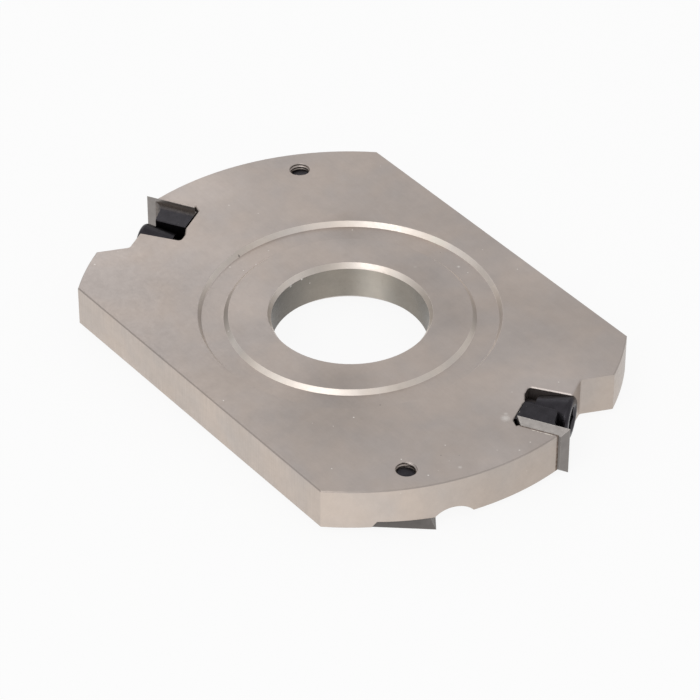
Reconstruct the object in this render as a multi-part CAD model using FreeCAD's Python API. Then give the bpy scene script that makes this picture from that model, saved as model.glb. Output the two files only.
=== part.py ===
import FreeCAD, Part
import math
import os

# Grooving cutter head: a flat steel disc with two straight sides. Two square carbide
# knives stand in slots on its rim, each clamped by a wedge and a cone-headed screw.
# Two square carbide spurs are screwed to its underside.
# Millimetres and degrees. The origin is on the bore's axis at half the body's thickness.
# Seen from above the head turns anticlockwise.

# Body
cutting_diameter = 125.0
rim_setback = 1.35            # from the cutting circle in to the body's rim
body_thickness = 10.0
width_across_flats = 85.0
edge_break = 0.25             # chamfer round the body's outline, both faces

# Bore and the ring groove round the hub, in the top face
bore_diameter = 35.0
bore_lead_in_run = 0.8        # sideways run of the lead-in at the top of the bore
bore_lead_in_depth = 1.25
bore_bottom_chamfer = 1.0
hub_diameter = 54.0
hub_drop = 0.2                # the hub's face lies this much below the plate's face
ring_groove_diameter = 67.4
ring_groove_depth = 1.15
ring_groove_wall_run = 0.8    # sideways run of the sloping outer wall
hub_wall_run = 1.0            # sideways run of the sloping inner wall

# Knives
knife_count = 2
knife_size = 12.0
knife_thickness = 1.5
knife_bevel_angle = 45.0
knife_tip_angle = 10.0        # where the first cutting edge stands, from +X
knife_hook_angle = 19.5       # between the knife's face and the radius to its edge

# Knife slot, measured in the knife's own directions
slot_width_at_mouth = 12.2    # from the knife's face across to the front wall
slot_flare_angle = 5.5        # the front wall opens outward by this angle
slot_mouth_setback = 3.9      # from the cutting edge in to the slot's mouth
slot_end_gap = 0.65           # between the knife's inner edge and the slot's end wall
screw_bay_setback = 0.85      # the end wall steps back here, in front of the screw
screw_bay_margin = 0.3        # from the wedge's front across to that step
screw_bay_run = 2.3           # sideways run of the step
screw_bay_corner_radius = 0.8
relief_start = 0.5            # the corner behind the knife is cut away on a slope
relief_depth = 0.45
relief_length = 1.3
relief_return = 0.3

# Chip gullet in front of the slot's mouth
gullet_length = 18.0          # from the knife's face across to the gullet's corner
gullet_corner_radius = 1.0
gullet_wall_angle = 36.0      # from the knife's direction

# Cone-headed clamping screw
screw_axis_to_front_wall = 2.1
screw_head_diameter = 10.0
screw_cone_half_angle = 9.6
screw_cone_length = 7.0
screw_head_proud = 1.0        # head past the slot's mouth
screw_rim_radius = 0.9
rim_steps = 4                 # narrow cones that stand for the round rim
screw_thread_diameter = 5.4   # mean diameter of the thread, which is left plain
screw_thread_length = 13.0
screw_hex = 5.0
hexagon_sides = 6
screw_socket_depth = 4.0
screw_socket_mouth_diameter = 6.8
screw_socket_mouth_depth = 0.5
screw_end_chamfer = 0.6
screw_hole_spare_depth = 1.5

# Clamping wedge
wedge_width = 6.3
wedge_end_gap = 0.2
wedge_lip_setback = 2.1       # thin lip at the knife, from the cutting edge
wedge_shoulder_setback = 4.6  # end of the hollow chip surface
wedge_front_setback = 5.0
wedge_shoulder_width = 4.0
wedge_hollow = 0.75           # depth of the hollow below the chord from lip to shoulder
wedge_edge_break = 0.2

# Spurs, each placed by its leading outer corner
spur_size = 14.0
spur_thickness = 2.0
spur_bevel_angle = 35.0
spur_radial_lead = 0.1        # corner past the cutting circle
spur_side_lead = 1.3          # corner below the body's underside
spur_corner_angle = -21.4     # where the first corner stands, from +X
spur_direction = 53.3         # of the outer side, from +X
spur_lead_tilt = 4.3          # the leading end hangs lower
spur_side_tilt = 3.0          # the outer side hangs lower
spur_hole_diameter = 5.4
spur_seat_gap = 0.05

# Rounded chip gullet in the underside, ahead of each spur
spur_gullet_radius = 5.3
spur_gullet_depth = 2.8       # at the rim
spur_gullet_lead = 3.9        # its axis ahead of the spur's leading edge
spur_gullet_reach = 17.0      # it runs out in the underside this far in from the rim

# Countersunk spur screw
spur_screw_diameter = 4.5     # mean diameter of the thread, which is left plain
spur_screw_head_diameter = 7.6
spur_screw_head_angle = 90.0
spur_screw_below_top = 1.2    # screw's end below the body's top face
spur_screw_end_chamfer = 0.4
spur_hole_edge_break = 0.15
spur_socket_diameter = 3.9
spur_socket_lobe_diameter = 0.9
spur_socket_depth = 1.5
lobe_count = 6

# Clearances
thread_gap = 0.03
cone_gap = 0.02
past = 4.0                    # how far a cutting tool runs past a face
touch = 1e-6                  # closer than this counts as lying on a plane

# Sizes that follow
cutting_radius = cutting_diameter / 2
body_radius = cutting_radius - rim_setback
half_thickness = body_thickness / 2
station_step = 360.0 / knife_count

slot_flare = math.tan(math.radians(slot_flare_angle))
slot_end = -(knife_size + slot_end_gap)
bay_end = slot_end - screw_bay_setback
slot_mouth = -slot_mouth_setback
screw_axis_across = slot_width_at_mouth - screw_axis_to_front_wall
screw_head_radius = screw_head_diameter / 2
screw_thread_radius = screw_thread_diameter / 2
cone_slope = math.tan(math.radians(screw_cone_half_angle))
screw_shank_end = -(screw_cone_length + screw_thread_length)
knife_bevel_run = knife_thickness * math.tan(math.radians(knife_bevel_angle))
spur_bevel = math.tan(math.radians(spur_bevel_angle))


def point(x, y, z=0.0):
    return FreeCAD.Vector(x, y, z)


def turn_about_z(angle):
    return FreeCAD.Placement(point(0, 0), FreeCAD.Rotation(point(0, 0, 1), angle))


def placed(shape, frame):
    return shape.transformed(frame.toMatrix(), True)


def face_of(edges):
    return Part.Face(Part.Wire(edges))


def rounded_edges(corners):
    """Edges of a closed outline; each corner is (x, y, radius), with 0 for a sharp one."""
    starts, ends, arcs = [], [], []
    count = len(corners)
    for index, (x, y, radius) in enumerate(corners):
        here = point(x, y)
        back = point(*corners[index - 1][:2]).sub(here).normalize()
        ahead = point(*corners[(index + 1) % count][:2]).sub(here).normalize()
        if radius <= 0:
            starts.append(here)
            ends.append(here)
            arcs.append(None)
            continue
        half = back.getAngle(ahead) / 2
        reach = radius / math.tan(half)
        middle = back.add(ahead).normalize()
        to_arc = radius / math.sin(half) - radius
        starts.append(here.add(back * reach))
        ends.append(here.add(ahead * reach))
        arcs.append(here.add(middle * to_arc))
    edges = []
    for index in range(count):
        if arcs[index] is not None:
            edges.append(Part.Arc(starts[index], arcs[index], ends[index]).toShape())
        following = (index + 1) % count
        edges.append(Part.LineSegment(ends[index], starts[following]).toShape())
    return edges


def prism(edges, low, high):
    """Solid between two heights over a plan outline."""
    base = face_of(edges)
    base.translate(point(0, 0, low))
    return base.extrude(point(0, 0, high - low))


def turned(profile, axis):
    """Solid of revolution from (radius, along) corners, about the Z or the X axis."""
    if axis == "z":
        corners = [point(radius, 0, along) for radius, along in profile]
        direction = point(0, 0, 1)
    else:
        corners = [point(along, 0, radius) for radius, along in profile]
        direction = point(1, 0, 0)
    outline = Part.makePolygon(corners + corners[:1])
    return Part.Face(outline).revolve(point(0, 0), direction, 360)


def block_with_slopes(low_box, high_box, low, high):
    """Straight-sided block between two rectangles given as (x0, y0, x1, y1)."""
    wires = []
    for (x0, y0, x1, y1), z in ((low_box, low), (high_box, high)):
        corners = [point(x0, y0, z), point(x1, y0, z), point(x1, y1, z), point(x0, y1, z)]
        wires.append(Part.makePolygon(corners + corners[:1]))
    return Part.makeLoft(wires, True, True)


# Frames

def knife_frame(station):
    """X runs out along the knife's face to its edge, Y across the slot to the front wall."""
    tip = math.radians(knife_tip_angle)
    at_edge = point(cutting_radius * math.cos(tip), cutting_radius * math.sin(tip))
    along_face = FreeCAD.Rotation(point(0, 0, 1), knife_tip_angle + knife_hook_angle)
    own = FreeCAD.Placement(at_edge, along_face)
    return turn_about_z(station * station_step).multiply(own)


def clamp_screw_frame():
    """In the knife's frame: X runs out along the screw, from the plane of the slot's mouth."""
    outward = FreeCAD.Rotation(point(0, 0, 1), slot_flare_angle)
    return FreeCAD.Placement(point(slot_mouth, screw_axis_across), outward)


def spur_heading(station):
    """Upright frame at the spur's leading outer corner: X leads, Y runs in to the hub."""
    angle = math.radians(spur_corner_angle)
    radius = cutting_radius + spur_radial_lead
    low = -half_thickness - spur_side_lead
    corner = point(radius * math.cos(angle), radius * math.sin(angle), low)
    own = FreeCAD.Placement(corner, FreeCAD.Rotation(point(0, 0, 1), spur_direction))
    return turn_about_z(station * station_step).multiply(own)


def spur_frame(station):
    """Tilted frame at the middle of the spur's seat face, Z up through the body."""
    lead_tilt = FreeCAD.Rotation(point(0, 1, 0), spur_lead_tilt)
    side_tilt = FreeCAD.Rotation(point(1, 0, 0), spur_side_tilt)
    tilt = FreeCAD.Placement(point(0, 0), lead_tilt.multiply(side_tilt))
    to_middle = FreeCAD.Placement(
        point(-spur_size / 2, spur_size / 2, spur_thickness), FreeCAD.Rotation())
    return spur_heading(station).multiply(tilt).multiply(to_middle)


# Clamping screw, in its own frame

def screw_envelope(head_room, thread_room, out_to, in_to):
    """Cone, shank and thread as one turned form, grown by the given gaps."""
    head = screw_head_radius + head_room
    small = screw_head_radius - screw_cone_length * cone_slope + head_room
    shank = screw_thread_radius + thread_room
    profile = [(0, out_to), (head, out_to), (head, 0), (small, -screw_cone_length),
               (shank, -screw_cone_length), (shank, in_to), (0, in_to)]
    return turned(profile, "x")


def rounded_rim():
    """Ring that takes the head's square rim down to a round one, in a few narrow cones."""
    start = screw_head_proud - screw_rim_radius
    centre = screw_head_radius - screw_rim_radius
    curve = []
    for step in range(rim_steps + 1):
        angle = math.radians(90.0 * step / rim_steps)
        curve.append((centre + screw_rim_radius * math.cos(angle),
                      start + screw_rim_radius * math.sin(angle)))
    beyond = screw_head_proud + past
    return turned(curve + [(centre, beyond), (screw_head_radius + past, beyond),
                           (screw_head_radius + past, start)], "x")


def clamp_screw():
    solid = screw_envelope(0, 0, screw_head_proud, screw_shank_end).cut(rounded_rim())
    end = [edge for edge in solid.Edges
           if abs(edge.BoundBox.XMax - screw_shank_end) < touch and edge.Closed]
    solid = solid.makeChamfer(screw_end_chamfer, end)
    corner = screw_hex / 2 / math.cos(math.pi / hexagon_sides)
    turns = [2 * math.pi * side / hexagon_sides for side in range(hexagon_sides + 1)]
    hexagon = [point(screw_head_proud, corner * math.sin(turn), corner * math.cos(turn))
               for turn in turns]
    socket = Part.Face(Part.makePolygon(hexagon)).extrude(point(-screw_socket_depth, 0))
    mouth = turned([(0, screw_head_proud), (screw_socket_mouth_diameter / 2, screw_head_proud),
                    (screw_hex / 2, screw_head_proud - screw_socket_mouth_depth),
                    (0, screw_head_proud - screw_socket_mouth_depth)], "x")
    return solid.cut(socket).cut(mouth)


# Body

def slot_outline():
    """Knife slot and chip gullet as one cut, open through the rim."""
    back = -knife_thickness
    front_at_bay = slot_width_at_mouth + (bay_end - slot_mouth) * slot_flare
    step = wedge_width + screw_bay_margin
    relief_out = slot_end + relief_length
    outside = 2 * past
    gullet_run = outside - slot_mouth
    gullet_top = gullet_length + gullet_run * math.tan(math.radians(gullet_wall_angle))
    return rounded_edges([
        (relief_out + relief_return, back, 0),
        (relief_out, back - relief_depth, 0),
        (slot_end, -relief_start, 0),
        (slot_end, step, 0),
        (bay_end, step + screw_bay_run, 0),
        (bay_end, front_at_bay, screw_bay_corner_radius),
        (slot_mouth, slot_width_at_mouth, 0),
        (slot_mouth, gullet_length, gullet_corner_radius),
        (outside, gullet_top, 0),
        (outside, back, 0),
    ])


def plate():
    """Disc with two straight sides, slots and gullets, edges broken all round."""
    half_width = width_across_flats / 2
    disc = Part.makeCylinder(body_radius, body_thickness, point(0, 0, -half_thickness))
    strip = Part.makeBox(2 * cutting_radius, width_across_flats, body_thickness,
                         point(-cutting_radius, -half_width, -half_thickness))
    blank = disc.common(strip)
    for station in range(knife_count):
        slot = prism(slot_outline(), -half_thickness - past, half_thickness + past)
        blank = blank.cut(placed(slot, knife_frame(station)))
    blank = blank.removeSplitter()
    rims = [edge for edge in blank.Edges
            if abs(abs(edge.BoundBox.ZMin) - half_thickness) < touch
            and edge.BoundBox.ZLength < touch]
    return blank.makeChamfer(edge_break, rims)


def bore_and_ring():
    """Everything turned out of the middle: bore and its mouths, hub face and ring groove."""
    top = half_thickness
    hub_top = top - hub_drop
    floor = top - ring_groove_depth
    above = top + past
    below = -half_thickness - past
    bore = bore_diameter / 2
    hub = hub_diameter / 2
    ring = ring_groove_diameter / 2
    bottom = -half_thickness
    return turned([
        (0, below),
        (bore + bore_bottom_chamfer, below),
        (bore + bore_bottom_chamfer, bottom),
        (bore, bottom + bore_bottom_chamfer),
        (bore, hub_top - bore_lead_in_depth),
        (bore + bore_lead_in_run, hub_top),
        (hub, hub_top),
        (hub + hub_wall_run, floor),
        (ring - ring_groove_wall_run, floor),
        (ring, top),
        (ring, above),
        (0, above),
    ], "z")


def spur_seat(station):
    """Tilted seat, open at the rim and ahead, with sloping walls behind and inside."""
    foot = spur_size / 2 - spur_thickness * spur_bevel + spur_seat_gap
    drop = spur_thickness + spur_side_lead + past
    lead = spur_size / 2
    run = drop * spur_bevel
    outer = -(spur_size / 2 + past)
    seat = block_with_slopes((-foot - run, outer, lead, foot + run),
                             (-foot, outer, lead, foot), -drop, 0)
    return placed(seat, spur_frame(station))


def spur_gullet(station):
    """Round-bottomed groove ahead of the spur, growing shallower towards the hub."""
    slope = math.atan(spur_gullet_depth / spur_gullet_reach)
    axis_height = spur_side_lead + spur_gullet_depth - spur_gullet_radius / math.cos(slope)
    at_rim = point(spur_gullet_lead, rim_setback + spur_radial_lead, axis_height)
    downward = FreeCAD.Rotation(point(1, 0, 0), -math.degrees(slope))
    groove = Part.makeCylinder(spur_gullet_radius, spur_gullet_reach + 3 * past,
                               point(0, -2 * past), point(0, 1, 0))
    place = spur_heading(station).multiply(FreeCAD.Placement(at_rim, downward))
    return placed(groove, place)


def spur_screw_hole(station):
    """Tapped hole through the body, square to the spur's seat."""
    reach = body_thickness + past
    radius = spur_screw_diameter / 2 + thread_gap
    hole = Part.makeCylinder(radius, reach + past, point(0, 0, -past))
    return placed(hole, spur_frame(station))


def body():
    solid = plate().cut(bore_and_ring())
    for station in range(knife_count):
        bay = screw_envelope(cone_gap, thread_gap, past,
                             screw_shank_end - screw_hole_spare_depth)
        screw_place = knife_frame(station).multiply(clamp_screw_frame())
        cuts = [placed(bay, screw_place), spur_seat(station),
                spur_gullet(station), spur_screw_hole(station)]
        for tool in cuts:
            solid = solid.cut(tool)
    mouths = [edge for edge in solid.Edges
              if abs(edge.BoundBox.ZMin - half_thickness) < touch
              and edge.BoundBox.ZLength < touch and edge.Closed
              and edge.BoundBox.XLength < 2 * spur_screw_diameter]
    return solid.makeChamfer(spur_hole_edge_break, mouths)


# Loose pieces, each in its own frame

def knife():
    """Square knife, its face at Y = 0 and its bevels behind."""
    half = knife_size / 2
    small = half - knife_bevel_run
    front = [(-knife_size, -half), (0, -half), (0, half), (-knife_size, half)]
    back = [(-half - small, -small), (-half + small, -small),
            (-half + small, small), (-half - small, small)]
    wires = []
    for outline, y in ((front, 0), (back, -knife_thickness)):
        corners = [point(x, y, z) for x, z in outline]
        wires.append(Part.makePolygon(corners + corners[:1]))
    return Part.makeLoft(wires, True, True)


def wedge():
    """Clamping wedge: flat against the knife, hollow at its outer end, coned for the screw."""
    inner = slot_end + wedge_end_gap
    lip = point(-wedge_lip_setback, 0)
    shoulder = point(-wedge_shoulder_setback, wedge_shoulder_width)
    chord = shoulder.sub(lip)
    into = point(-chord.y, chord.x).normalize()
    middle = lip.add(chord * 0.5).add(into * wedge_hollow)
    front_out = point(-wedge_front_setback, wedge_width)
    front_in = point(inner, wedge_width)
    back_in = point(inner, 0)
    outline = [
        Part.Arc(lip, middle, shoulder).toShape(),
        Part.LineSegment(shoulder, front_out).toShape(),
        Part.LineSegment(front_out, front_in).toShape(),
        Part.LineSegment(front_in, back_in).toShape(),
        Part.LineSegment(back_in, lip).toShape(),
    ]
    solid = prism(outline, -half_thickness, half_thickness)
    broken = [edge for edge in solid.Edges
              if abs(abs(edge.BoundBox.ZMin) - half_thickness) < touch
              and edge.BoundBox.ZLength < touch
              and edge.BoundBox.YMin - wedge_width > -touch]
    solid = solid.makeChamfer(wedge_edge_break, broken)
    room = screw_envelope(cone_gap, thread_gap, past, screw_shank_end)
    return solid.cut(placed(room, clamp_screw_frame()))


def screw_cone(radius_at_face, gap):
    """Countersink below the spur's outer face, down to the screw's own diameter."""
    slope = math.tan(math.radians(spur_screw_head_angle / 2))
    wide = radius_at_face + gap
    narrow = spur_screw_diameter / 2 + gap
    height = (wide - narrow) / slope
    return Part.makeCone(wide, narrow, height, point(0, 0, -spur_thickness))


def spur():
    """Square spur, its seat face at Z = 0 and its large face below."""
    large = spur_size / 2
    small = large - spur_thickness * spur_bevel
    plate_form = block_with_slopes((-large, -large, large, large),
                                   (-small, -small, small, small), -spur_thickness, 0)
    hole = Part.makeCylinder(spur_hole_diameter / 2, spur_thickness + 2 * past,
                             point(0, 0, -spur_thickness - past))
    sink = screw_cone(spur_screw_head_diameter / 2, cone_gap)
    return plate_form.cut(hole).cut(sink)


def spur_screw():
    """Countersunk screw with a six-lobed socket, its head flush with the spur."""
    rise = math.cos(math.radians(spur_lead_tilt)) * math.cos(math.radians(spur_side_tilt))
    seat_height = spur_frame(0).Base.z
    length = (half_thickness - spur_screw_below_top - seat_height) / rise
    shank = Part.makeCylinder(spur_screw_diameter / 2, length + spur_thickness,
                              point(0, 0, -spur_thickness))
    end = [edge for edge in shank.Edges
           if abs(edge.BoundBox.ZMin - length) < touch and edge.Closed]
    shank = shank.makeChamfer(spur_screw_end_chamfer, end)
    solid = shank.fuse(screw_cone(spur_screw_head_diameter / 2, 0))
    lobe = spur_socket_lobe_diameter / 2
    ring = spur_socket_diameter / 2 - lobe
    socket = Part.makeCylinder(ring, spur_socket_depth, point(0, 0, -spur_thickness))
    for index in range(lobe_count):
        angle = math.radians(index * 360.0 / lobe_count)
        at = point(ring * math.cos(angle), ring * math.sin(angle), -spur_thickness)
        socket = socket.fuse(Part.makeCylinder(lobe, spur_socket_depth, at))
    return solid.cut(socket).removeSplitter()


def write(name, shape):
    solid = shape.Solids[0]
    print(name, "solids", len(shape.Solids), "valid", solid.isValid(), "volume", round(solid.Volume, 2))
    solid.exportStep("parts/" + name + ".step")


os.makedirs("parts", exist_ok=True)
write("body", body())
for station in range(knife_count):
    number = str(station + 1)
    at_knife = knife_frame(station)
    at_spur = spur_frame(station)
    write("knife_" + number, placed(knife(), at_knife))
    write("clamping_wedge_" + number, placed(wedge(), at_knife))
    write("clamping_screw_" + number,
          placed(clamp_screw(), at_knife.multiply(clamp_screw_frame())))
    write("spur_" + number, placed(spur(), at_spur))
    write("spur_screw_" + number, placed(spur_screw(), at_spur))
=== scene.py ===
import math

import bpy
from mathutils import Matrix, Vector


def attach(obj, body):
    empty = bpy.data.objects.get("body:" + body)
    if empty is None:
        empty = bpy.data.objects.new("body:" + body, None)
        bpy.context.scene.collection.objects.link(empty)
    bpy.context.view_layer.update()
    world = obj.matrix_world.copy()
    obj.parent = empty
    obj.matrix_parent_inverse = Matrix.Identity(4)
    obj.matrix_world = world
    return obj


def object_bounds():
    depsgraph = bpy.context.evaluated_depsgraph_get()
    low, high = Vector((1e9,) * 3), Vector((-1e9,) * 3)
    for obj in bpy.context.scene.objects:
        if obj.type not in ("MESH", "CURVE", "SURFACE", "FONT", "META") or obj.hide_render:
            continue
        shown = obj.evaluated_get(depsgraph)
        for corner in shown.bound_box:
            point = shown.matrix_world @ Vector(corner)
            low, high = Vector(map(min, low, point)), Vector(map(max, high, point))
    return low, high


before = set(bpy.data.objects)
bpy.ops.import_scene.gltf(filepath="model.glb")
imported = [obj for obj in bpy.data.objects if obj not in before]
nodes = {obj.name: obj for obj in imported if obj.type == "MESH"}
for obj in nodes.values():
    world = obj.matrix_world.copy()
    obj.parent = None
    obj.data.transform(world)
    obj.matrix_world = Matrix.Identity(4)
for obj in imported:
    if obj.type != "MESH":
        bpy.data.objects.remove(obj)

MM = 0.001
cad_low, cad_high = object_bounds()

# ---------------------------------------------------------------- node helpers

# vector operations that give a number
GIVE_NUMBER = ("LENGTH", "DOT_PRODUCT", "DISTANCE")


class Graph:
    """A material's or the world's node tree, with short calls for the nodes used here."""

    def __init__(self, tree):
        self.tree = tree
        tree.nodes.clear()

    def add(self, kind, **settings):
        node = self.tree.nodes.new(kind)
        for key, value in settings.items():
            setattr(node, key, value)
        return node

    def set(self, socket, value):
        """Link the socket or give it a plain value; None leaves it as it is."""
        if isinstance(value, bpy.types.NodeSocket):
            self.tree.links.new(value, socket)
        elif value is not None:
            socket.default_value = value

    def math(self, operation, a, b=None):
        node = self.add("ShaderNodeMath", operation=operation)
        for socket, value in zip(node.inputs, (a, b)):
            self.set(socket, value)
        return node.outputs[0]

    def times(self, first, *others):
        """The product of two or more numbers."""
        for other in others:
            first = self.math("MULTIPLY", first, other)
        return first

    def plus(self, first, *others):
        """The sum of two or more numbers."""
        for other in others:
            first = self.math("ADD", first, other)
        return first

    def vector(self, operation, a, b=None, scale=None):
        node = self.add("ShaderNodeVectorMath", operation=operation)
        self.set(node.inputs[0], a)
        self.set(node.inputs[1], b)
        if scale is not None:
            self.set(node.inputs["Scale"], scale)
        return node.outputs["Value" if operation in GIVE_NUMBER else "Vector"]

    def split(self, vector):
        node = self.add("ShaderNodeSeparateXYZ")
        self.set(node.inputs[0], vector)
        return node.outputs

    def join(self, x, y, z):
        node = self.add("ShaderNodeCombineXYZ")
        for socket, value in zip(node.inputs, (x, y, z)):
            self.set(socket, value)
        return node.outputs[0]

    def noise(self, vector, scale, detail, roughness, distortion=0.0):
        node = self.add("ShaderNodeTexNoise", noise_dimensions="3D")
        self.set(node.inputs["Vector"], vector)
        self.set(node.inputs["Scale"], scale)
        self.set(node.inputs["Detail"], detail)
        self.set(node.inputs["Roughness"], roughness)
        self.set(node.inputs["Distortion"], distortion)
        return node.outputs["Fac"]

    def stretched_noise(self, place, stretch, detail, roughness):
        """Noise whose grain has its own fineness along x, y and z."""
        return self.noise(self.vector("MULTIPLY", place, stretch), 1.0, detail, roughness)

    def cells(self, vector, scale):
        node = self.add("ShaderNodeTexVoronoi", feature="F1", voronoi_dimensions="3D")
        self.set(node.inputs["Vector"], vector)
        self.set(node.inputs["Scale"], scale)
        return node.outputs["Distance"], node.outputs["Color"]

    def range(self, value, low, high, to_low=0.0, to_high=1.0, smooth=False):
        """The value's share of the way from low to high, as a number from to_low to to_high."""
        node = self.add("ShaderNodeMapRange", clamp=True)
        node.interpolation_type = "SMOOTHSTEP" if smooth else "LINEAR"
        for socket, number in zip(node.inputs, (value, low, high, to_low, to_high)):
            self.set(socket, number)
        return node.outputs[0]

    def layer(self, place, kind, values, results=(0.0, 1.0)):
        """Noise of one kind (scale, detail, roughness) whose values become the results."""
        return self.range(self.noise(place, *kind), *values, *results)

    def mix(self, factor, a, b, blend="MIX"):
        node = self.add("ShaderNodeMix", data_type="RGBA", blend_type=blend)
        self.set(node.inputs["Factor"], factor)
        self.set(node.inputs[6], a)
        self.set(node.inputs[7], b)
        return node.outputs[2]

    def grey(self, value):
        return self.join(value, value, value)

    def gain(self, colour, value):
        """The colour times a number or another colour."""
        if not isinstance(value, bpy.types.NodeSocket) or value.type == "VALUE":
            value = self.grey(value)
        return self.mix(1.0, colour, value, "MULTIPLY")

    def bump(self, height, distance, normal):
        node = self.add("ShaderNodeBump")
        self.set(node.inputs["Height"], height)
        self.set(node.inputs["Distance"], distance)
        self.set(node.inputs["Normal"], normal)
        return node.outputs[0]

    def round_normal(self, radius):
        node = self.add("ShaderNodeBevel", samples=8)
        self.set(node.inputs["Radius"], radius)
        return node.outputs[0]


def rgb(red, green, blue):
    return (red, green, blue, 1.0)


def metal(name, make):
    """A material of one metallic surface; make(graph) gives its colour, roughness and normal."""
    material = bpy.data.materials.new(name)
    material.use_nodes = True
    graph = Graph(material.node_tree)
    colour, roughness, normal = make(graph)
    shader = graph.add("ShaderNodeBsdfPrincipled")
    shader.inputs["Metallic"].default_value = 1.0
    graph.set(shader.inputs["Base Color"], colour)
    graph.set(shader.inputs["Roughness"], roughness)
    graph.set(shader.inputs["Normal"], normal)
    output = graph.add("ShaderNodeOutputMaterial")
    graph.set(output.inputs["Surface"], shader.outputs[0])
    return material


def millimetres(graph):
    """The object's own coordinates in millimetres."""
    return graph.vector("SCALE", graph.add("ShaderNodeTexCoord").outputs["Object"], scale=1.0 / MM)


def facing(graph):
    """The x, y and z of the surface's direction, in the object's own frame."""
    return graph.split(graph.add("ShaderNodeTexCoord").outputs["Normal"])


def flattened(graph, place):
    """The place at height 0, for distances from an upright axis."""
    x, y, _ = graph.split(place)
    return graph.join(x, y, 0.0)


def edge_wear(graph, radius):
    """0 on flat areas and up to 1 along edges, from how far a rounded normal leans."""
    leaned = graph.round_normal(radius)
    plain = graph.add("ShaderNodeNewGeometry").outputs["Normal"]
    return graph.range(graph.vector("DOT_PRODUCT", leaned, plain), 0.995, 0.90)


def sparse(graph, place, scale, size, share):
    """Small separate spots: about share of the cells hold one, of radius size cells at most."""
    distance, colour = graph.cells(place, scale)
    pick, width, _ = graph.split(colour)
    reach = graph.range(width, 0.0, 1.0, 0.35 * size, size)
    spot = graph.range(graph.math("DIVIDE", distance, reach), 1.0, 0.55)
    return graph.times(spot, graph.math("LESS_THAN", pick, share))


def blemishes(graph, place, marks):
    """Single marks on the top face: x, y and radius in millimetres, and strength."""
    level_place = flattened(graph, place)
    uneven = graph.noise(place, 3.0, 3.0, 0.7)
    total = 0.0
    for x, y, radius, strength in marks:
        away = graph.vector("DISTANCE", level_place, (x, y, 0.0))
        away = graph.plus(away, graph.times(uneven, radius))
        spot = graph.range(away, 1.5 * radius, 0.7 * radius, 0.0, strength)
        total = graph.math("MAXIMUM", spot, total)
    height = graph.split(place)[2]
    return graph.times(total, graph.math("GREATER_THAN", height, MARKS_ABOVE))


def painted_shading(graph, place, patches):
    """Painted light and shade, soft patches through the whole height: x, y and radius in
    millimetres, and gain.
    """
    level_place = flattened(graph, place)
    total = 1.0
    for x, y, radius, gain in patches:
        away = graph.vector("DISTANCE", level_place, (x, y, 0.0))
        total = graph.plus(total, graph.range(away, radius, 0.0, 0.0, gain, smooth=True))
    return total


# ---------------------------------------------------------------- painted light and shade, and marks

# painted light and shade on the body's faces: soft lighter and darker patches that stand for
# reflections
BROAD_PAINTED_LIGHT = (
    (26.2, -24.8, 22.0, -0.17), (16.8, -16.0, 12.0, -0.12), (-0.1, 20.0, 15.0, -0.12),
    (14.0, 17.0, 12.0, -0.14), (-24.3, 19.2, 9.0, -0.16), (2.0, -35.0, 12.0, -0.08),
    (59.0, -6.0, 10.0, 0.09), (-53.0, -30.0, 9.0, 0.06),
    (46.1, 17.2, 20.0, 0.17), (13.5, 45.1, 16.0, 0.14), (-33.7, -9.4, 20.0, 0.12),
    (-58.0, 0.3, 16.0, 0.12), (-49.7, -29.9, 18.0, 0.07), (-17.0, -15.0, 11.0, 0.11),
)
# painted light and shade in the bore: a painted highlight band and two darker patches
BORE_PAINTED_LIGHT = (
    (-9.7, 14.6, 7.0, 0.75), (-14.0, -10.5, 17.0, -0.56), (6.5, 16.2, 10.0, -0.30),
)
# painted light and shade on the sloping walls: darker at the hub's left and right, and smaller
# lighter and darker patches
WALL_PAINTED_LIGHT = (
    (-17.0, -21.6, 15.0, -0.48), (17.0, 21.6, 15.0, -0.46), (-13.7, 10.8, 10.0, 0.08),
    (27.5, -2.0, 16.0, -0.20), (-32.0, -6.0, 15.0, -0.20),
    (7.0, 32.5, 7.0, -0.15), (-8.3, 32.2, 9.0, 0.14), (-32.6, 6.9, 8.0, -0.12),
    (8.5, -26.2, 8.0, 0.14), (-2.9, -27.3, 6.0, -0.20), (25.5, 9.5, 9.0, -0.17),
    (-16.6, 6.0, 9.0, -0.25), (4.0, 17.5, 8.0, -0.23), (-6.0, 17.0, 5.5, 0.13),
)
# painted light and shade on the carbide: the far knife lighter, the spurs darker
CARBIDE_PAINTED_LIGHT = (
    (-60.0, -10.5, 14.0, 0.25), (52.0, -27.0, 22.0, -0.36), (-52.0, 27.0, 22.0, -0.36),
)

# the marks lie on the top face only, so above this height in millimetres
MARKS_ABOVE = 3.0
# pale chips and specks, and among them painted glints, such as the one at the rim's corner by the
# straight side
PALE_SPECKS_AND_GLINTS = (
    (49.4, 3.2, 1.3, 0.45), (48.3, 4.2, 0.6, 0.30), (46.3, -22.8, 0.24, 0.9),
    (53.8, -21.6, 0.26, 0.9), (48.4, -12.6, 0.20, 0.8), (59.3, -1.3, 0.26, 0.7),
    (-30.6, -10.3, 0.26, 0.9), (-11.6, -24.9, 0.22, 0.8), (-30.1, 0.2, 0.22, 0.7),
    (0.9, 30.2, 0.45, 0.5), (55.9, -14.7, 0.60, 0.35), (58.7, 2.2, 0.24, 0.6),
    (-48.8, -34.5, 0.26, 0.7), (-48.2, 2.6, 0.34, 0.4), (-41.6, 6.0, 0.26, 0.35),
    (-17.0, -3.4, 0.40, 0.6), (-4.1, 21.7, 0.5, 0.12), (44.8, -42.3, 0.45, 0.75),
    (52.9, -15.2, 0.16, 0.5), (56.4, -5.0, 0.18, 0.5), (53.9, -19.0, 0.14, 0.4),
)
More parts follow.
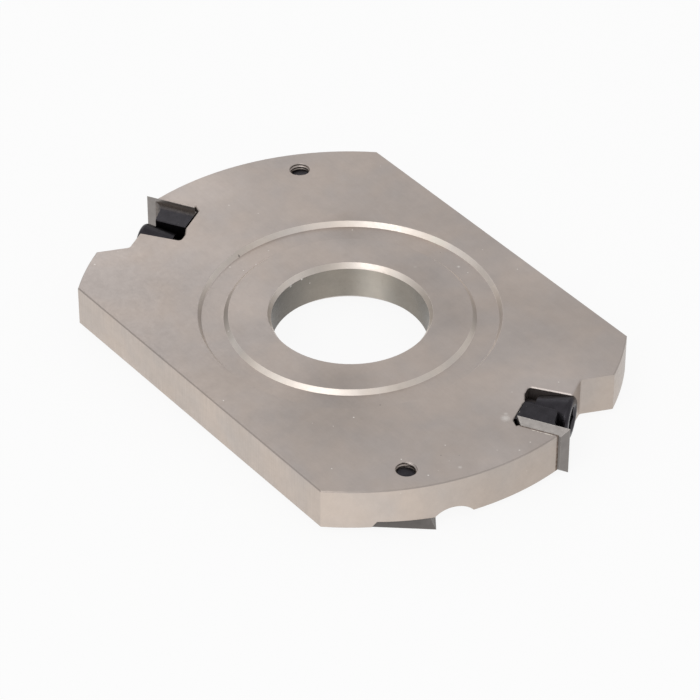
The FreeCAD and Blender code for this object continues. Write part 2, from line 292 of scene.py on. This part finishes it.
DARK_MARKS = (
    (-32.4, -6.4, 0.28, 0.85), (28.4, -14.2, 0.22, 0.6), (50.4, -15.4, 0.20, 0.6),
    (52.8, -12.4, 0.14, 0.6), (27.0, -7.5, 0.9, 0.10), (-17.0, 12.0, 1.2, 0.08),
)
WEDGE_MARKS = (
    (49.6, 11.7, 0.18, 0.8), (49.6, 6.9, 0.20, 0.8),
)

# ---------------------------------------------------------------- body steel

BODY_TOP = rgb(0.507, 0.446, 0.412)
BODY_SIDE = rgb(0.560, 0.490, 0.440)
# the bore is coloured much darker than the top: painted shade in the hollow
BODY_BORE_SHADE = rgb(0.300, 0.274, 0.240)
# the sloping walls are coloured much lighter than the top: a painted highlight
BODY_WALL_HIGHLIGHT = rgb(0.880, 0.800, 0.735)
# the narrow chamfer round the rim and sides is darkened: painted shade
CHAMFER_SHADE = rgb(0.17, 0.14, 0.11)
COOL_TINT = rgb(0.985, 1.0, 1.015)
WARM_TINT = rgb(1.015, 1.0, 0.98)
PALE_SPECK_AND_GLINT = rgb(0.95, 0.92, 0.88)
PIT_DARK = rgb(0.13, 0.10, 0.085)
STAIN_DARK = rgb(0.10, 0.085, 0.075)
BODY_EDGE_HIGHLIGHT = rgb(0.80, 0.74, 0.68)
JOINT_BROWN = rgb(0.16, 0.11, 0.08)
# painted highlight on the slot's edge
EDGE_GLINT_BRIGHT = rgb(1.0, 0.93, 0.84)
WHITE = rgb(1.0, 1.0, 1.0)

BODY_EDGE_R = 0.12 * MM
BODY_RELIEF = 0.012 * MM
# how strongly each of these shows over the colour below it
CHAMFER_SHADE_SHOWS, SPECK_SHOWS, PIT_SHOWS, EDGE_HIGHLIGHT_SHOWS = 0.14, 0.8, 0.75, 0.25
# layers of noise: scale, detail and roughness, then the noise values, then what they become
BODY_BROAD = (0.045, 3.0, 0.55), (0.3, 0.7), (0.95, 1.05)
BODY_CLOUD = (0.35, 4.0, 0.6), (0.3, 0.7), (0.97, 1.03)
BODY_GRAIN = (5.0, 3.0, 0.65), (0.25, 0.75), (0.975, 1.025)
BODY_WARMTH = (0.09, 2.0, 0.5, 0.3), (0.35, 0.65)
BODY_ROUGH = (1.3, 4.0, 0.6), (0.3, 0.7), (0.36, 0.46)
LINE_UNEVEN = (1.4, 2.0, 0.6), (0.35, 0.60), (0.45, 0.85)
GLINTS_UNEVEN = (1.3, 2.0, 0.5), (0.46, 0.52), (0.0, 0.75)
# stretched noise: its fineness along x, y and z, then detail and roughness
BRUSHING = (0.06, 1.6, 1.0), 4.0, 0.65
MILLING = (2.6, 0.0, 0.10), 2.0, 0.6
BORE_GROOVES = (0.05, 0.05, 9.0), 2.0, 0.6
# spots: cells per millimetre, largest radius in cells, share of the cells that hold one
SPECKS = (0.28, 0.070, 0.28)
PITS = (0.16, 0.045, 0.22)
# the pits' cells are taken from another place, so that they don't follow the specks'
PITS_SHIFT = (31.0, 7.0, 3.0)
# how far each part of the relief stands out, in shares of BODY_RELIEF
STANDS_OUT = {
    "grain": 0.35, "rings": 0.25, "milling": 0.9, "specks": 1.5,
    "pits": -3.0, "grooves": 3.5, "thread": 6.0,
}
# the upward (or for milled, sideways) part of the surface's direction: from not at all to fully
LEVEL_FACES, SIDE_FACES, MILLED_FACES = (0.93, 0.985), (0.35, 0.2), (0.985, 0.995)
SLOPES_BELOW, SLOPES_ABOVE = (0.93, 0.86), (0.2, 0.3)
# places and sizes on the body, in millimetres
BORE_R = 17.5
RING_R = 33.7
RIM_R = 60.8
SIDE_Y = 42.15
SCREW_HOLES = ((49.4, -24.0), (-49.4, 24.0))
HOLE_R = 2.9
THREAD_PITCH = 0.8
# painted shade: between the first two y values, the gain on the rim falls from the third number to
# the fourth
RIM_SHADE = (-38.0, -11.0, 1.14, 0.86)

# the near knife's direction outwards, the one away from its back, and the back's own distance
KNIFE_ALONG = (0.8704, 0.4924, 0.0)
KNIFE_BEHIND = (0.4924, -0.8704, 0.0)
KNIFE_BACK = 22.362
# behind the knife's back: where the brown line and the painted highlights start and end
LINE_START, LINE_END = -0.05, (0.62, 0.50)
GLINTS_START, GLINTS_END = (0.55, 0.63), (0.92, 0.80)
# outwards along the knife: where the line starts, and where the painted highlights start and end
LINE_FROM = 47.2
GLINTS_FROM, GLINTS_TO = (49.4, 50.4), (56.6, 56.0)


def body_areas(g, place):
    """Numbers from 0 to 1 that tell the body's kinds of surface apart, and the radius."""
    _, y, _ = g.split(place)
    _, aside, upward = facing(g)
    radius = g.vector("LENGTH", flattened(g, place))
    level = g.range(g.math("ABSOLUTE", upward), *LEVEL_FACES)
    side = g.range(g.math("ABSOLUTE", upward), *SIDE_FACES)
    beyond_rim = g.math("GREATER_THAN", radius, RIM_R)
    beyond_side = g.math("GREATER_THAN", g.math("ABSOLUTE", y), SIDE_Y)
    sloping = g.times(g.range(upward, *SLOPES_BELOW), g.range(upward, *SLOPES_ABOVE))
    return {
        "radius": radius,
        "side": side,
        # the two straight sides
        "milled": g.range(g.math("ABSOLUTE", aside), *MILLED_FACES),
        "bore": g.math("LESS_THAN", radius, BORE_R + 0.1),
        # the hub and the ring groove's floor
        "turned": g.math("LESS_THAN", radius, RING_R),
        # the sloping walls of the ring groove and the bore's upper mouth
        "wall": g.times(sloping, g.math("LESS_THAN", radius, RING_R + 0.5)),
        # the narrow chamfer round the rim and along the straight sides
        "chamfer": g.times(
            g.math("SUBTRACT", 1.0, level),
            g.math("SUBTRACT", 1.0, side),
            g.math("MAXIMUM", beyond_rim, beyond_side),
        ),
    }


def body_zones(g, place, area):
    """The colour of each kind of surface, with painted light and shade: soft patches, the rim's
    gradient, lighter walls, a darker bore and chamfer.
    """
    _, y, _ = g.split(place)
    rim_painted_shade = g.mix(area["milled"], g.grey(g.range(y, *RIM_SHADE)), WHITE)
    base = g.gain(BODY_TOP, painted_shading(g, place, BROAD_PAINTED_LIGHT))
    base = g.mix(area["side"], base, g.gain(BODY_SIDE, rim_painted_shade))
    base = g.mix(area["bore"], base, g.gain(BODY_BORE_SHADE, painted_shading(g, place, BORE_PAINTED_LIGHT)))
    base = g.mix(area["wall"], base, g.gain(BODY_WALL_HIGHLIGHT, painted_shading(g, place, WALL_PAINTED_LIGHT)))
    return g.mix(g.times(area["chamfer"], CHAMFER_SHADE_SHOWS), base, CHAMFER_SHADE)


def body_mottling(g, place, area, base, milling):
    """Broad mottling, finer clouds, grain, brushing and cutter marks over the plain colour."""
    broad = g.layer(place, *BODY_BROAD)
    cloud = g.layer(place, *BODY_CLOUD)
    grain = g.layer(place, *BODY_GRAIN)
    brush = g.range(g.stretched_noise(place, *BRUSHING), 0.3, 0.7, 0.985, 1.015)
    cutter = g.grey(g.range(milling, 0.35, 0.65, 0.965, 1.035))
    cutter = g.mix(area["milled"], WHITE, cutter)
    tint = g.mix(g.layer(place, *BODY_WARMTH), COOL_TINT, WARM_TINT)
    return g.gain(g.gain(base, tint), g.times(broad, cloud, grain, brush, cutter))


def joint_line(g, place, base):
    """A brown line on the body behind the near knife, with painted highlights: bright dashes along
    the slot's edge.
    """
    behind = g.math("SUBTRACT", g.vector("DOT_PRODUCT", place, KNIFE_BEHIND), KNIFE_BACK)
    along = g.vector("DOT_PRODUCT", place, KNIFE_ALONG)
    line = g.times(
        g.range(behind, *LINE_END),
        g.math("GREATER_THAN", behind, LINE_START),
        g.math("GREATER_THAN", along, LINE_FROM),
        g.layer(place, *LINE_UNEVEN),
    )
    glints = g.times(
        g.range(behind, *GLINTS_START),
        g.range(behind, *GLINTS_END),
        g.range(along, *GLINTS_TO),
        g.range(along, *GLINTS_FROM),
        g.layer(place, *GLINTS_UNEVEN),
    )
    return g.mix(glints, g.mix(line, base, JOINT_BROWN), EDGE_GLINT_BRIGHT)


def body_height(g, place, area, milling, speck, pit):
    """The fine relief of the surface, in shares of BODY_RELIEF."""
    x, _, z = g.split(place)
    # turned rings on the hub and the groove's floor, and fine turning grooves in the bore
    rings = g.noise(g.join(g.times(area["radius"], 3.2), g.times(x, 0.02), z), 1.0, 3.0, 0.7)
    grooves = g.stretched_noise(place, *BORE_GROOVES)
    height = g.plus(
        g.times(g.noise(place, 3.5, 4.0, 0.6), STANDS_OUT["grain"]),
        g.times(rings, area["turned"], STANDS_OUT["rings"]),
        g.times(milling, area["milled"], STANDS_OUT["milling"]),
        g.times(speck, STANDS_OUT["specks"]),
        g.times(pit, STANDS_OUT["pits"]),
        g.times(grooves, area["bore"], STANDS_OUT["grooves"]),
    )
    # the thread in the two spur screws' holes
    thread = g.math("SINE", g.times(z, 2.0 * math.pi / THREAD_PITCH))
    level_place = flattened(g, place)
    for hole_x, hole_y in SCREW_HOLES:
        away = g.vector("DISTANCE", level_place, (hole_x, hole_y, 0.0))
        in_hole = g.times(g.math("LESS_THAN", away, HOLE_R), area["side"])
        height = g.plus(height, g.times(thread, in_hole, STANDS_OUT["thread"]))
    return height


def body_steel(g):
    place = millimetres(g)
    area = body_areas(g, place)
    milling = g.stretched_noise(place, *MILLING)
    speck = sparse(g, place, *SPECKS)
    pit = sparse(g, g.vector("ADD", place, PITS_SHIFT), *PITS)

    base = body_mottling(g, place, area, body_zones(g, place, area), milling)
    base = g.mix(g.times(speck, SPECK_SHOWS), base, PALE_SPECK_AND_GLINT)
    base = g.mix(g.times(pit, PIT_SHOWS), base, PIT_DARK)
    # pale marks, some of them painted glints
    base = g.mix(blemishes(g, place, PALE_SPECKS_AND_GLINTS), base, PALE_SPECK_AND_GLINT)
    base = g.mix(blemishes(g, place, DARK_MARKS), base, STAIN_DARK)
    # painted highlight: the body is coloured lighter along its edges
    base = g.mix(g.times(edge_wear(g, BODY_EDGE_R), EDGE_HIGHLIGHT_SHOWS), base, BODY_EDGE_HIGHLIGHT)
    base = joint_line(g, place, base)

    rough = g.plus(g.layer(place, *BODY_ROUGH), g.times(pit, 0.25))
    height = body_height(g, place, area, milling, speck, pit)
    return base, rough, g.bump(height, BODY_RELIEF, g.round_normal(BODY_EDGE_R))


# ---------------------------------------------------------------- carbide, black steel

CARBIDE_GREY = rgb(0.250, 0.232, 0.220)
CARBIDE_WORN = rgb(0.70, 0.67, 0.63)
CARBIDE_WEAR_R = 0.10 * MM
CARBIDE_EDGE_R = 0.05 * MM
CARBIDE_RELIEF = 0.006 * MM
# the layers of noise are written as those of the body
CARBIDE_CLOUD = (0.5, 3.0, 0.6), (0.3, 0.7), (0.93, 1.07)
CARBIDE_GRAIN = (9.0, 2.0, 0.6), (0.3, 0.7), (0.96, 1.04)
CARBIDE_ROUGH = (2.0, 3.0, 0.6), (0.3, 0.7), (0.36, 0.50)
GRINDING = (0.3, 0.3, 6.0), 4.0, 0.7

OXIDE_BLACK = rgb(0.046, 0.043, 0.049)
OXIDE_WORN = rgb(0.30, 0.29, 0.29)
OXIDE_WEAR_R = 0.15 * MM
OXIDE_EDGE_R = 0.12 * MM
OXIDE_RELIEF = 0.015 * MM
OXIDE_CLOUD = (0.6, 4.0, 0.6), (0.3, 0.7), (0.85, 1.18)
OXIDE_GRAIN = (8.0, 3.0, 0.65), (0.3, 0.7), (0.85, 1.15)
OXIDE_ROUGH = (3.0, 4.0, 0.6), (0.3, 0.7), (0.26, 0.42)
WEAR_PATCHES = (2.2, 3.0, 0.6), (0.4, 0.65)
DUST_GREY = rgb(0.45, 0.43, 0.40)
DUST_SPOTS = (0.9, 0.10, 0.30)
DEPOSIT_BROWN = rgb(0.40, 0.345, 0.30)
DEPOSIT_GRIT = (3.2, 4.0, 0.75), (0.38, 0.60), (0.40, 1.0)
# from the far knife across its wedge: where the deposit starts, and where it fades out
FAR_WEDGE_ACROSS = (0.505, -0.863, 0.0)
DEPOSIT_START, DEPOSIT_FADE = -26.0, (-21.6, -18.2)
# the near wedge has no deposit, so it counts only below this x
FAR_SIDE_X = -40.0


def carbide(g):
    place = millimetres(g)
    ground = g.stretched_noise(place, *GRINDING)
    cloud = g.layer(place, *CARBIDE_CLOUD)
    grain = g.layer(place, *CARBIDE_GRAIN)
    streaks = g.range(ground, 0.3, 0.7, 0.95, 1.05)
    # painted light: the faces that look up are coloured lighter than the ground faces
    upward = g.range(facing(g)[2], 0.45, 0.65, 1.0, 1.22)
    tone_and_painted_light = g.times(cloud, grain, streaks, upward, painted_shading(g, place, CARBIDE_PAINTED_LIGHT))
    base = g.gain(CARBIDE_GREY, tone_and_painted_light)
    base = g.mix(g.times(edge_wear(g, CARBIDE_WEAR_R), 0.5), base, CARBIDE_WORN)
    rough = g.layer(place, *CARBIDE_ROUGH)
    height = g.plus(ground, g.times(g.noise(place, 8.0, 2.0, 0.6), 0.5))
    return base, rough, g.bump(height, CARBIDE_RELIEF, g.round_normal(CARBIDE_EDGE_R))


def deposit(g, place):
    """Where dust and resin are caught on the far wedge, along its knife."""
    x, _, _ = g.split(place)
    across = g.vector("DOT_PRODUCT", place, FAR_WEDGE_ACROSS)
    across = g.plus(across, g.times(g.noise(place, 1.4, 4.0, 0.7), 2.4))
    return g.times(
        g.range(across, *DEPOSIT_FADE, 0.90, 0.0),
        g.math("LESS_THAN", x, FAR_SIDE_X),
        g.math("GREATER_THAN", across, DEPOSIT_START),
        g.layer(place, *DEPOSIT_GRIT),
    )


def black_steel(g):
    place = millimetres(g)
    base = g.gain(OXIDE_BLACK, g.times(g.layer(place, *OXIDE_CLOUD), g.layer(place, *OXIDE_GRAIN)))
    dust = g.times(sparse(g, place, *DUST_SPOTS), 0.55)
    dust = g.math("MAXIMUM", dust, blemishes(g, place, WEDGE_MARKS))
    base = g.mix(dust, base, DUST_GREY)
    base = g.mix(deposit(g, place), base, DEPOSIT_BROWN)
    worn = g.times(edge_wear(g, OXIDE_WEAR_R), g.layer(place, *WEAR_PATCHES), 0.45)
    base = g.mix(worn, base, OXIDE_WORN)
    rough = g.layer(place, *OXIDE_ROUGH)
    height = g.noise(place, 5.0, 4.0, 0.6)
    return base, rough, g.bump(height, OXIDE_RELIEF, g.round_normal(OXIDE_EDGE_R))


MATERIALS = {
    "body_steel": metal("body_steel_look", body_steel),
    "carbide": metal("carbide_look", carbide),
    "black_steel": metal("black_steel_look", black_steel),
}
for node in nodes.values():
    for slot in node.material_slots:
        slot.material = MATERIALS[slot.material.name.split(".")[0]]

# ---------------------------------------------------------------- thread above each spur screw

THREAD_ROOT_R = 2.31
THREAD_TIP_R = 2.07
THREAD_HALF_WIDTH = 0.28
# the middle of the ridge's first and last step, along the lean from the mouth
THREAD_SPAN = (-1.16, -0.22)
THREAD_LEAN = Vector((0.0867, 0.0288, 0.9958))
THREAD_MOUTH = Vector((49.431, -23.938, 5.0))
HALF_TURN = Vector((-1.0, -1.0, 1.0))
STEPS_PER_TURN = 72
FADE_STEPS = 10
LEAST_SHARE = 0.02


def thread_ridge(name, mouth, lean):
    """About a turn of an internal thread: a ridge that winds up the hole and fades at its ends."""
    upright = lean.to_track_quat("Z", "Y")
    low, high = THREAD_SPAN
    steps = round(STEPS_PER_TURN * (high - low) / THREAD_PITCH)
    points = []
    for step in range(steps + 1):
        share = max(LEAST_SHARE, min(1.0, step / FADE_STEPS, (steps - step) / FADE_STEPS))
        angle = 2.0 * math.pi * step / STEPS_PER_TURN
        height = low + (high - low) * step / steps
        tip = THREAD_ROOT_R + (THREAD_TIP_R - THREAD_ROOT_R) * share
        rise = THREAD_HALF_WIDTH * share
        for radius, along in ((THREAD_ROOT_R, -rise), (tip, 0.0), (THREAD_ROOT_R, rise)):
            at = Vector((radius * math.cos(angle), radius * math.sin(angle), height + along))
            points.append((mouth + upright @ at) * MM)
    last = 3 * steps
    faces = [(2, 1, 0), (last, last + 1, last + 2)]
    for step in range(steps):
        for side in range(3):
            a, b = 3 * step + side, 3 * step + (side + 1) % 3
            faces.append((b, b + 3, a + 3, a))
    mesh = bpy.data.meshes.new(name)
    mesh.from_pydata(points, [], faces)
    mesh.materials.append(MATERIALS["body_steel"])
    ridge = bpy.data.objects.new(name, mesh)
    bpy.context.scene.collection.objects.link(ridge)
    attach(ridge, "root")


thread_ridge("spur_hole_thread_1", THREAD_MOUTH, THREAD_LEAN)
thread_ridge("spur_hole_thread_2", THREAD_MOUTH * HALF_TURN, THREAD_LEAN * HALF_TURN)

# ---------------------------------------------------------------- floor

FLOOR_SIZE = 6.0
FLOOR_GAP = 0.02 * MM
FLOOR_COLOUR = rgb(0.90, 0.90, 0.90)
# how much of the floor a camera or a reflection sees as plain white
FLOOR_WHITE = 0.90

floor_mesh = bpy.data.meshes.new("floor")
half = FLOOR_SIZE / 2
floor_z = cad_low.z - FLOOR_GAP
floor_mesh.from_pydata(
    [(x, y, floor_z) for x, y in ((-half, -half), (half, -half), (half, half), (-half, half))],
    [],
    [(0, 1, 2, 3)],
)
floor = bpy.data.objects.new("floor", floor_mesh)
bpy.context.scene.collection.objects.link(floor)


def blend_shaders(g, factor, first, second):
    node = g.add("ShaderNodeMixShader")
    for socket, value in zip(node.inputs, (factor, first.outputs[0], second.outputs[0])):
        g.set(socket, value)
    return node


paper = bpy.data.materials.new("pale_floor")
paper.use_nodes = True
g = Graph(paper.node_tree)
sight = g.add("ShaderNodeLightPath").outputs
seen = g.math("MAXIMUM", sight["Is Camera Ray"], sight["Is Glossy Ray"])
seen = g.math("MAXIMUM", seen, sight["Is Transmission Ray"])
matt = g.add("ShaderNodeBsdfDiffuse")
matt.inputs["Color"].default_value = FLOOR_COLOUR
glow = g.add("ShaderNodeEmission")
glow.inputs["Color"].default_value = WHITE
above = blend_shaders(g, g.times(seen, FLOOR_WHITE), matt, glow)
# from below, the floor lets the underside be seen
from_below = g.add("ShaderNodeNewGeometry").outputs["Backfacing"]
sided = blend_shaders(g, from_below, above, g.add("ShaderNodeBsdfTransparent"))
g.set(g.add("ShaderNodeOutputMaterial").inputs["Surface"], sided.outputs[0])
floor_mesh.materials.append(paper)

# ---------------------------------------------------------------- light

# how bright the surroundings are, from straight below (0) to straight above (1)
SKY_LEVELS = (
    (0.0, 0.60), (0.50, 0.58), (0.60, 0.64), (0.75, 0.70),
    (0.81, 0.64), (0.87, 0.62), (0.94, 0.72), (1.0, 0.80),
)
# name, azimuth and elevation in degrees, distance, width and height in metres, and level
LAMPS = (
    ("key", 24.0, 40.0, 1.2, 0.62, 0.85, 1.5),
    ("fill", -112.0, 36.0, 1.2, 0.35, 0.35, 1.2),
)

world = bpy.data.worlds.new("studio")
bpy.context.scene.world = world
world.use_nodes = True
g = Graph(world.node_tree)
_, _, skyward = g.split(g.add("ShaderNodeTexCoord").outputs["Generated"])
ramp = g.add("ShaderNodeValToRGB")
g.set(ramp.inputs[0], g.range(skyward, -1.0, 1.0))
ramp.color_ramp.elements[0].position = SKY_LEVELS[0][0]
ramp.color_ramp.elements[-1].position = SKY_LEVELS[-1][0]
for stop, _ in SKY_LEVELS[1:-1]:
    ramp.color_ramp.elements.new(stop)
for element, (_, level) in zip(ramp.color_ramp.elements, SKY_LEVELS):
    element.color = rgb(level, level, level)
back = g.add("ShaderNodeBackground")
g.set(back.inputs["Color"], ramp.outputs[0])
g.set(g.add("ShaderNodeOutputWorld").inputs["Surface"], back.outputs[0])


def direction(azimuth, elevation):
    """From the object towards that azimuth (0 is -Y, 90 is +X) and elevation, in degrees."""
    a, e = math.radians(azimuth), math.radians(elevation)
    return Vector((math.sin(a) * math.cos(e), -math.cos(a) * math.cos(e), math.sin(e)))


def softbox(name, azimuth, elevation, distance, width, height, level):
    """A soft rectangular lamp that looks at the object; level is its radiance, where 1 is white."""
    lamp = bpy.data.lights.new(name, "AREA")
    lamp.shape = "RECTANGLE"
    lamp.size, lamp.size_y = width, height
    lamp.energy = level * math.pi * width * height
    item = bpy.data.objects.new(name, lamp)
    away = direction(azimuth, elevation)
    item.location = away * distance
    item.rotation_mode = "QUATERNION"
    item.rotation_quaternion = away.to_track_quat("Z", "Y")
    bpy.context.scene.collection.objects.link(item)


for lamp in LAMPS:
    softbox(*lamp)

# ---------------------------------------------------------------- camera

CAMERA_PLACE = Vector((508.127, -401.657, 509.281)) * MM
CAMERA_AIM = Vector((5.744, -4.580, 0.0)) * MM
CAMERA_ROLL = math.radians(0.206)
SENSOR_WIDTH = 36.0
FOCAL_LENGTH = 191.3

camera_data = bpy.data.cameras.new("camera")
camera_data.sensor_fit = "HORIZONTAL"
camera_data.sensor_width = SENSOR_WIDTH
camera_data.lens = FOCAL_LENGTH
camera_data.clip_start, camera_data.clip_end = 0.01, 50.0
camera = bpy.data.objects.new("camera", camera_data)
bpy.context.scene.collection.objects.link(camera)
bpy.context.scene.camera = camera
turn = (CAMERA_AIM - CAMERA_PLACE).to_track_quat("-Z", "Y").to_matrix()
turn = turn @ Matrix.Rotation(CAMERA_ROLL, 3, "Z")
camera.matrix_world = Matrix.Translation(CAMERA_PLACE) @ turn.to_4x4()

bpy.context.scene.view_settings.view_transform = "Standard"
